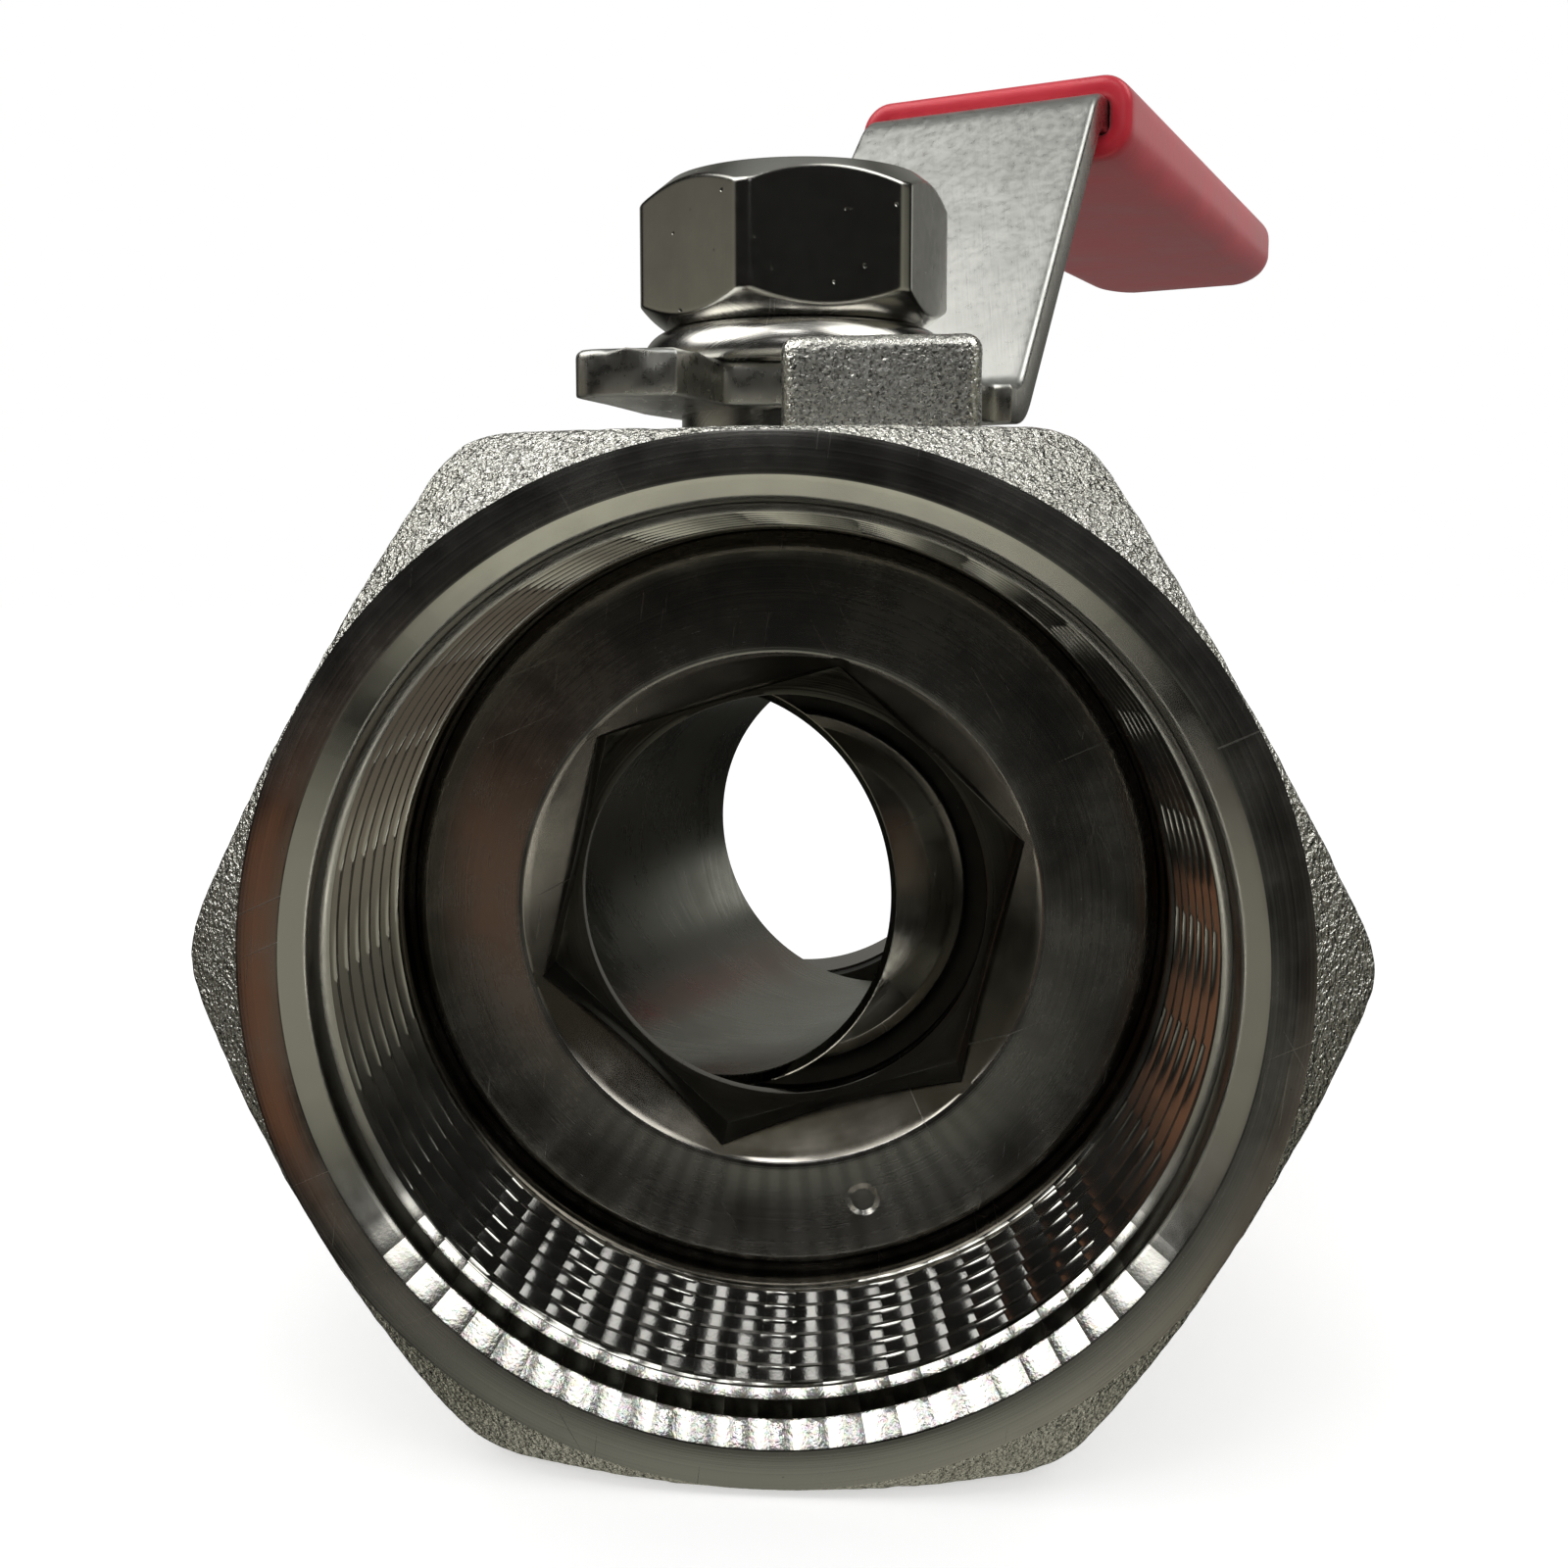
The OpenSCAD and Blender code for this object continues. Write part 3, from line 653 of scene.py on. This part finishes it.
def make_ball():
    """Mirror polished ball with its port."""
    columns = 256
    port, chamfer = 15.7, 0.8
    polished, satin = range(2)
    mouth = port + chamfer
    rim = math.asin(mouth / BALL_R)
    edge = BALL_R * math.cos(rim)
    sphere = steps(rim, math.pi - rim, 0.03)
    rows = [(BALL_R * math.sin(a), BALL_R * math.cos(a), polished) for a in sphere]
    rows += [(mouth - 0.1, 0.02 - edge, polished), (port + 0.1, chamfer - 0.1 - edge, satin)]
    rows += [(port, y, satin) for y in steps(chamfer - edge, edge - chamfer, 1.5)]
    rows += [(port + 0.1, edge - chamfer + 0.1, satin), (mouth - 0.1, edge - 0.02, polished)]
    points = np.concatenate([bore_ring(r, turns(columns), y) for r, y, _ in rows])
    index = np.repeat([material for _, _, material in rows], columns)
    faces = grid_faces(len(rows), columns, True)
    points = about_stem(points, BALL_TURN)
    ball = mesh_object("ported_ball", points, faces, (POLISHED, SATIN), index, 25)
    return link(ball, "ball", ["ball"])


def make_nut():
    """Hexagon nut, turned to cones at both ends."""
    columns = 480
    theta = turns(columns)
    half, corner, turn = 11.85, 13.35, math.radians(14)
    low, high = span("stem_nut", Z)
    foot, foot_r = low + 1.9, 10.9
    head, head_r = high - 2.0, 10.8
    hole = 8.06

    def outside(z):
        r = smooth_min(hexagon(theta, half, turn), corner, 0.12)
        r = smooth_min(r, foot_r + (z - low) * (corner - foot_r) / (foot - low), 0.2)
        return smooth_min(r, head_r + (high - z) * (corner - head_r) / (high - head), 0.2)

    heights = steps(low + 0.02, foot + 0.2, 0.09) + steps(foot + 0.5, head - 0.5, 0.6)
    heights += steps(head - 0.2, high - 0.02, 0.09)
    rows = [(outside(z), z) for z in heights]
    rows += [(head_r - 0.2, high), (hole + 0.84, high), (hole, high - 0.8), (hole, low + 0.5)]
    rows += [(hole + 0.24, low), (foot_r - 0.2, low)]
    points = about_stem(np.concatenate([ring(r, theta, z) for r, z in rows]))
    nut = mesh_object(
        "hexagon_nut", points, grid_faces(len(rows), columns, True), [MILLED], sharp=24
    )
    return link(nut, "lever_and_stem", ["stem_nut"])


def make_washer():
    """Domed spring washer, its edges rolled smooth."""
    columns = 256
    low, high = span("spring_washer", Z)
    inner, outer, flat = 8.3, 13.1, 2.2
    dome, drop = outer - inner - flat, high - low - 0.95
    rows = [(inner, low + 1.8), (inner, high - 0.3), (inner + 0.3, high)]
    rows.append((inner + flat, high - 0.05))
    for share in steps(0.2, 1.0, 0.09):
        a = share * TAU / 4
        rows.append((inner + flat + dome * math.sin(a), low + 0.9 + drop * math.cos(a)))
    rows += [(outer - 0.03, low + 0.5), (outer - 0.2, low + 0.2), (outer - 0.5, low + 0.02)]
    points = about_stem(np.concatenate([ring(r, turns(columns), z) for r, z in rows]))
    faces = grid_faces(len(rows), columns, True)
    washer = mesh_object("domed_washer", points, faces, [TURNED], sharp=60)
    return link(washer, "lever_and_stem", ["spring_washer"])


make_body()
make_boss()
make_post()
make_insert()
make_ball()
make_nut()
make_washer()


# ---------------------------------------------------------------- lever and sleeve


# Distances u are level, from the stem's axis along the arm; lengths s follow the bent strip.
THICK = 3.6
ARM_ROOT, ARM_NECK, ARM_TIP = 14.4, 12.9, 11.3
SLEEVE_START, ARM_END = 51.4, 144.8
PLATE_LOW, GRIP_TOP = span("lever", Z)
RISER_FOOT, RISER_ANGLE, BEND = 17.2, math.radians(49), 3.0


def arm_half(u):
    """Half the arm's width at a distance u from the stem."""
    if u < SLEEVE_START:
        share = (u - RISER_FOOT) / (SLEEVE_START - RISER_FOOT)
        return ARM_ROOT - (ARM_ROOT - ARM_NECK) * share
    return ARM_NECK - (ARM_NECK - ARM_TIP) * (u - SLEEVE_START) / (ARM_END - SLEEVE_START)


def strip_path(s):
    """Middle of the bent strip at a length s from the stem: (u, z, slope)."""
    mid = BEND + THICK / 2
    arc = mid * RISER_ANGLE
    rise = GRIP_TOP - PLATE_LOW - THICK
    straight = (rise - 2 * mid * (1 - math.cos(RISER_ANGLE))) / math.sin(RISER_ANGLE)

    # Plate.
    u, z = min(s, RISER_FOOT), PLATE_LOW + THICK / 2
    s -= RISER_FOOT
    if s <= 0:
        return u, z, 0.0

    # Bend up into the riser.
    a = min(s, arc) / mid
    u, z, s = u + mid * math.sin(a), z + mid * (1 - math.cos(a)), s - arc
    if s <= 0:
        return u, z, a

    # Riser.
    run = min(s, straight)
    u, z, s = u + run * math.cos(a), z + run * math.sin(a), s - straight
    if s <= 0:
        return u, z, a

    # Bend back to level, and the grip.
    b = a - min(s, arc) / mid
    u += mid * (math.sin(a) - math.sin(b))
    z += mid * (math.cos(b) - math.cos(a))
    return u + max(s - arc, 0.0), z, b


# Beyond its bends the strip runs level, so a length well past the tip gives the rest.
PAST_TIP = 1000.0
STRIP_END = ARM_END + PAST_TIP - strip_path(PAST_TIP)[0]


def arc_points(centre, radius, first, last, count):
    """Points on an arc, angles in degrees."""
    angles = [math.radians(first + (last - first) * i / count) for i in range(count + 1)]
    return [(centre[0] + radius * math.cos(a), centre[1] + radius * math.sin(a)) for a in angles]


def lever_outline():
    """Flat outline of the strip before bending, as (across, along) from the stem."""
    hub_r, tip_cut = 10.9, 3
    notch = [(0.25, -21.9), (0.0, -18.0), (-0.5, -12.6), (-0.2, -12.2), (3.1, -10.4)]
    hub = arc_points((0, 0), hub_r, -68, -30, 5)
    shoulder = [(12.3, -1.0), (12.6, 0.4), (12.6, 13.0), (12.75, 14.0), (13.1, 14.8)]
    shoulder += [(13.8, 15.25), (ARM_ROOT, 15.5)]
    tip = [(ARM_ROOT, STRIP_END - tip_cut), (ARM_ROOT - tip_cut, STRIP_END)]
    tip += [(tip_cut - ARM_ROOT, STRIP_END), (-ARM_ROOT, STRIP_END - tip_cut)]
    left = [(-ARM_ROOT, 14.4), (-14.0, 12.6), (-11.0, 5.6), (-10.3, 3.6), (-10.3, -8.6)]
    tab = [(-9.6, -12.0), (-8.6, -17.6), (-8.0, -22.4), (-7.8, -23.3), (-7.2, -23.9)]
    tab += [(-6.3, -24.05), (-5.4, -23.9), (-3.4, -23.2)]
    return notch + hub + shoulder + tip + left + tab


def stamped_strip():
    """Flat strip with rolled upper edges and lightly broken lower ones, as a bmesh."""
    bm = bmesh.new()
    face = bm.faces.new([bm.verts.new((v, s, 0)) for v, s in lever_outline()])
    for g in bmesh.ops.extrude_face_region(bm, geom=[face])["geom"]:
        if isinstance(g, bmesh.types.BMVert):
            g.co.z = THICK
    for height, offset, segments in ((THICK, 0.6, 4), (0.0, 0.2, 2)):
        rim = [e for e in bm.edges if all(abs(v.co.z - height) < 1e-6 for v in e.verts)]
        bmesh.ops.bevel(
            bm, geom=rim, offset=offset, segments=segments, profile=0.5, affect="EDGES"
        )
    bmesh.ops.recalc_face_normals(bm, faces=bm.faces[:])
    bm.normal_update()
    flat, sheared = range(2)
    for face in bm.faces:
        face.material_index = sheared if abs(face.normal.z) < 0.35 else flat
    return bm


def cut_for_bends(bm):
    """Cuts the strip across, closest where it bends, and along."""
    across = steps(-24, 16, 2.0) + steps(16.9, 22.5, 0.35) + steps(23.5, 58.0, 1.5)
    across += steps(58.6, 66.0, 0.35) + steps(68, STRIP_END - 1, 8.0)
    planes = [((0, s, 0), (0, 1, 0)) for s in across]
    planes += [((v, 0, 0), (1, 0, 0)) for v in steps(-13, 13, 2.0)]
    for at, normal in planes:
        geometry = bm.verts[:] + bm.edges[:] + bm.faces[:]
        bmesh.ops.bisect_plane(bm, geom=geometry, plane_co=at, plane_no=normal, dist=1e-5)


def make_lever():
    """Stamped strip with rolled upper edges and sheared sides, bent twice."""
    bm = stamped_strip()
    cut_for_bends(bm)
    for vert in bm.verts:
        v, s, h = vert.co
        u, z, a = strip_path(s)
        h -= THICK / 2
        u -= h * math.sin(a)
        if s > RISER_FOOT:
            v *= arm_half(u) / ARM_ROOT
        vert.co = (v, u, z + h * math.cos(a))
    points = about_stem(np.array([v.co for v in bm.verts]), LEVER_TURN)
    for vert, point in zip(bm.verts, points):
        vert.co = point * MM
    mesh = bpy.data.meshes.new("lever_strip")
    bm.to_mesh(mesh)
    bm.free()
    mesh.materials.append(SHEET)
    mesh.materials.append(SHEARED)
    mesh.polygons.foreach_set("use_smooth", [True] * len(mesh.polygons))
    mesh.set_sharp_from_angle(angle=math.radians(35))
    lever = bpy.data.objects.new("lever_strip", mesh)
    return link(lever, "lever_and_stem", ["lever"])


def rounded_loop(half_w, half_h, r, count=10):
    """Closed loop of a rounded rectangle about the origin, as (across, up) points."""
    loop = []
    for x, y, first in ((1, 1, 0), (-1, 1, 90), (-1, -1, 180), (1, -1, 270)):
        centre = (x * (half_w - r), y * (half_h - r))
        loop += arc_points(centre, r, first, first + 90, count)
    return loop


def make_sleeve():
    """Dipped sleeve: soft mouth, rounded edges, closed end, drawn in along the arm."""
    low, high = span("sleeve", Z)
    mid, half_h = (low + high) / 2, (high - low) / 2
    wall = half_h - THICK / 2
    # Radii of the long edges, of the end seen from above and of the mouth's lip.
    edge_r, end_r, lip = 3.4, 10.0, 0.9
    gap = 0.06  # between the strip and the inside of the mouth
    start, end = SLEEVE_START, ARM_END + wall + 1.4
    rows = []

    def add(u, inset, half_w, half_h=half_h):
        """Section at u, drawn in from its outside by an inset all round."""
        r = max(0.25, min(edge_r - inset, half_h - inset - 0.05))
        loop = rounded_loop(half_w - inset, half_h - inset, r)
        rows.append([(x, u, mid + z) for x, z in loop])

    # From inside the mouth, round its lip and along the outside.
    add(start + 8, wall - gap, arm_half(start + 8) + wall)
    for a in steps(0, math.pi, math.pi / 8):
        inset = wall / 2 + (wall / 2 - gap) * math.cos(a)
        add(start + lip * (1 - math.sin(a)), inset, arm_half(start) + wall)
    for u in steps(start + 2.5, end - 11, 3.0):
        add(u, 0, arm_half(u) + wall)

    # Rounded end.
    for share in steps(0, 1, 0.07):
        a = share * math.pi / 2
        u = end - end_r + end_r * math.sin(a)
        half_w = arm_half(end - end_r) + wall - end_r + end_r * math.cos(a)
        past = max(0.0, u - (end - edge_r))
        drop = edge_r - math.sqrt(max(edge_r**2 - past**2, 0.0))
        add(u, 0, half_w, max(half_h - drop, 0.6))

    columns = len(rows[0])
    points = np.array([p for row in rows for p in row])
    faces = grid_faces(len(rows), columns, False)
    faces.append(tuple(range(columns)))
    faces.append(tuple(reversed(range(len(points) - columns, len(points)))))
    points = about_stem(points, LEVER_TURN)
    sleeve = mesh_object("grip_sleeve", points, faces, [VINYL], sharp=60)
    return link(sleeve, "lever_and_stem", ["sleeve"])


make_lever()
make_sleeve()


# Pieces that keep their CAD mesh.
KEPT = {
    "gland": TURNED,
    "stem": TURNED,
    # The seats take the near-black PTFE, painted shade.
    "inlet_seat": SHADED_PTFE,
    "outlet_seat": SHADED_PTFE,
    "insert_seal": PTFE,
    "thrust_washer": PTFE,
    "lower_packing": PTFE,
    "upper_packing": PTFE,
}
for name, material in KEPT.items():
    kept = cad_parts[name]
    kept.data.materials.clear()
    kept.data.materials.append(material)


# ---------------------------------------------------------------- camera


def add_camera():
    """Close wide-angle view into the insert end, from a little above.

    Its place, turn and lens were fitted to the hexagon, the nut and the lever together.
    """
    data = bpy.data.cameras.new("camera")
    data.sensor_width = 36.0
    data.lens = 40.49
    data.shift_x, data.shift_y = 0.0434, -0.0029
    data.clip_start, data.clip_end = 0.01, 20.0
    cam = bpy.data.objects.new("camera", data)
    bpy.context.scene.collection.objects.link(cam)
    aside, away, up = 6.16, 105.49, 24.65
    yaw, pitch, roll = math.radians(4.85), math.radians(-6.70), math.radians(-0.275)
    turn = Matrix.Rotation(yaw, 4, "Z")
    turn @= Matrix.Rotation(math.radians(90) + pitch, 4, "X")
    turn @= Matrix.Rotation(roll, 4, "Z")
    place = Vector((aside, FACE - away, up)) * MM
    cam.matrix_world = Matrix.Translation(place) @ turn
    bpy.context.scene.camera = cam


add_camera()


# ---------------------------------------------------------------- studio


# Patches of the room that metal mirrors, as seen from the valve: direction, radius in degrees
# of the even core and of the whole patch, colour.
PATCHES = (
    ((-0.6, -0.2, 0.77), 14, 30, (4.2, 4.2, 4.06)),
    ((0.6, -0.2, 0.77), 13, 28, (3.6, 3.6, 3.48)),
    ((0.0, 0.1, 1.0), 20, 40, (0.32, 0.325, 0.315)),
    ((-0.98, -0.05, -0.15), 12, 34, (0.24, 0.23, 0.19)),
    ((0.95, -0.25, -0.2), 14, 34, (0.3, 0.295, 0.24)),
    ((0.7, -0.68, -0.2), 8, 20, (0.1, 0.095, 0.075)),
    ((0.45, -0.68, -0.55), 12, 29, (0.12, 0.1, 0.08)),
    ((0.0, -0.83, -0.56), 9, 21, (0.28, 0.285, 0.24)),
    ((0.0, 1.0, 0.3), 12, 48, (0.2, 0.2, 0.185)),
    ((0.7, 0.68, 0.2), 5, 13, (0.5, 0.5, 0.47)),
    ((0.0, 0.0, -1.0), 14, 46, (0.6, 0.59, 0.48)),
)
GLOOM = (0.008, 0.008, 0.007)


def room_light(tree, direction):
    """Colour that metal mirrors from the room: dark in front, lit from above and behind."""
    total = GLOOM
    for towards, core, fade, colour in PATCHES:
        facing = vector_calc(tree, "DOT_PRODUCT", direction, Vector(towards).normalized())[1]
        inner, outer = math.cos(math.radians(core)), math.cos(math.radians(fade))
        limits = {0: facing, 1: outer, 2: inner}
        share = node(tree, "ShaderNodeMapRange", limits, interpolation_type="SMOOTHSTEP")[0]
        inputs = {0: colour, "Scale": share}
        patch = node(tree, "ShaderNodeVectorMath", inputs, operation="SCALE")[0]
        total = vector_calc(tree, "ADD", patch, total)[0]
    return total


def add_world():
    """White to the camera, plain pale light for matt surfaces, the room for shiny ones.

    The room is dark in front because the photo's metal is nearly black wherever it looks
    back at the camera.
    """
    world = bpy.data.worlds.new("studio")
    bpy.context.scene.world = world
    world.use_nodes = True
    tree = world.node_tree
    tree.nodes.clear()
    path = node(tree, "ShaderNodeLightPath")
    direction = node(tree, "ShaderNodeTexCoord")["Generated"]
    plain = node(tree, "ShaderNodeBackground", {0: (0.8, 0.8, 0.8, 1), 1: 1.0})[0]
    room = node(tree, "ShaderNodeBackground", {0: room_light(tree, direction), 1: 1.0})[0]
    white = node(tree, "ShaderNodeBackground", {0: (1, 1, 1, 1), 1: 1.0})[0]
    shiny = calc(tree, "MAXIMUM", path["Is Glossy Ray"], path["Is Transmission Ray"])
    made = node(tree, "ShaderNodeMixShader", {0: shiny, 1: plain, 2: room})[0]
    made = node(tree, "ShaderNodeMixShader", {0: path["Is Camera Ray"], 1: made, 2: white})[0]
    node(tree, "ShaderNodeOutputWorld", {0: made})


def add_lamp(name, towards, distance, wide, high, radiance, colour=(1, 1, 1)):
    """Soft box of a given brightness, towards a direction from the frame's origin; metres."""
    data = bpy.data.lights.new(name, "AREA")
    data.color = colour
    data.shape = "RECTANGLE"
    data.size, data.size_y = wide, high
    data.energy = radiance * math.pi * wide * high
    lamp = bpy.data.objects.new(name, data)
    bpy.context.scene.collection.objects.link(lamp)
    aim = Vector(towards).normalized()
    lamp.location = aim * distance
    lamp.rotation_euler = aim.to_track_quat("Z", "Y").to_euler()


def add_floor():
    """Pale floor with the valve's shadow on it; a glossy ray sees a clear, dim grey bench."""
    half, height = 3.0, cad_box[0][Z] - 0.0004
    corners = [(x * half, y * half, height) for x, y in ((-1, -1), (1, -1), (1, 1), (-1, 1))]
    mesh = bpy.data.meshes.new("floor")
    mesh.from_pydata(corners, [], [(0, 1, 2, 3)])
    material = bpy.data.materials.new("floor")
    material.use_nodes = True
    tree = material.node_tree
    tree.nodes.clear()
    path = node(tree, "ShaderNodeLightPath")
    pale = node(tree, "ShaderNodeBsdfDiffuse", {0: (0.8, 0.8, 0.8, 1)})[0]
    glow = node(tree, "ShaderNodeEmission", {0: (1, 1, 1, 1), 1: 0.5})[0]
    seen = node(tree, "ShaderNodeAddShader", {0: pale, 1: glow})[0]
    bench = node(tree, "ShaderNodeBsdfDiffuse", {0: (0.3, 0.3, 0.28, 1)})[0]
    clear = node(tree, "ShaderNodeBsdfTransparent")[0]
    made = node(tree, "ShaderNodeMixShader", {0: path["Is Glossy Ray"], 1: bench, 2: clear})[0]
    made = node(tree, "ShaderNodeMixShader", {0: path["Is Camera Ray"], 1: made, 2: seen})[0]
    node(tree, "ShaderNodeOutputMaterial", {0: made})
    mesh.materials.append(material)
    floor = bpy.data.objects.new("floor", mesh)
    bpy.context.scene.collection.objects.link(floor)


add_world()
add_lamp("key", (-0.05, -0.455, 0.887), 0.55, 0.15, 0.09, 4.4)
add_lamp("front_strip", (-0.02, -0.865, 0.503), 0.55, 0.15, 0.09, 1.6)
add_lamp("fill_left", (-0.8, -0.2, 0.6), 0.7, 0.35, 0.35, 0.5)
# Two dim warm cards beside the lens put the copper tint on the left of the ring and insert.
add_lamp("warm_card_outer", (-0.52, -0.83, -0.2), 0.131, 0.030, 0.046, 0.18, (1, 0.46, 0.25))
add_lamp("warm_card_inner", (-0.37, -0.92, -0.17), 0.119, 0.018, 0.020, 0.16, (1, 0.62, 0.4))
add_floor()

bpy.context.scene.view_settings.view_transform = "Standard"
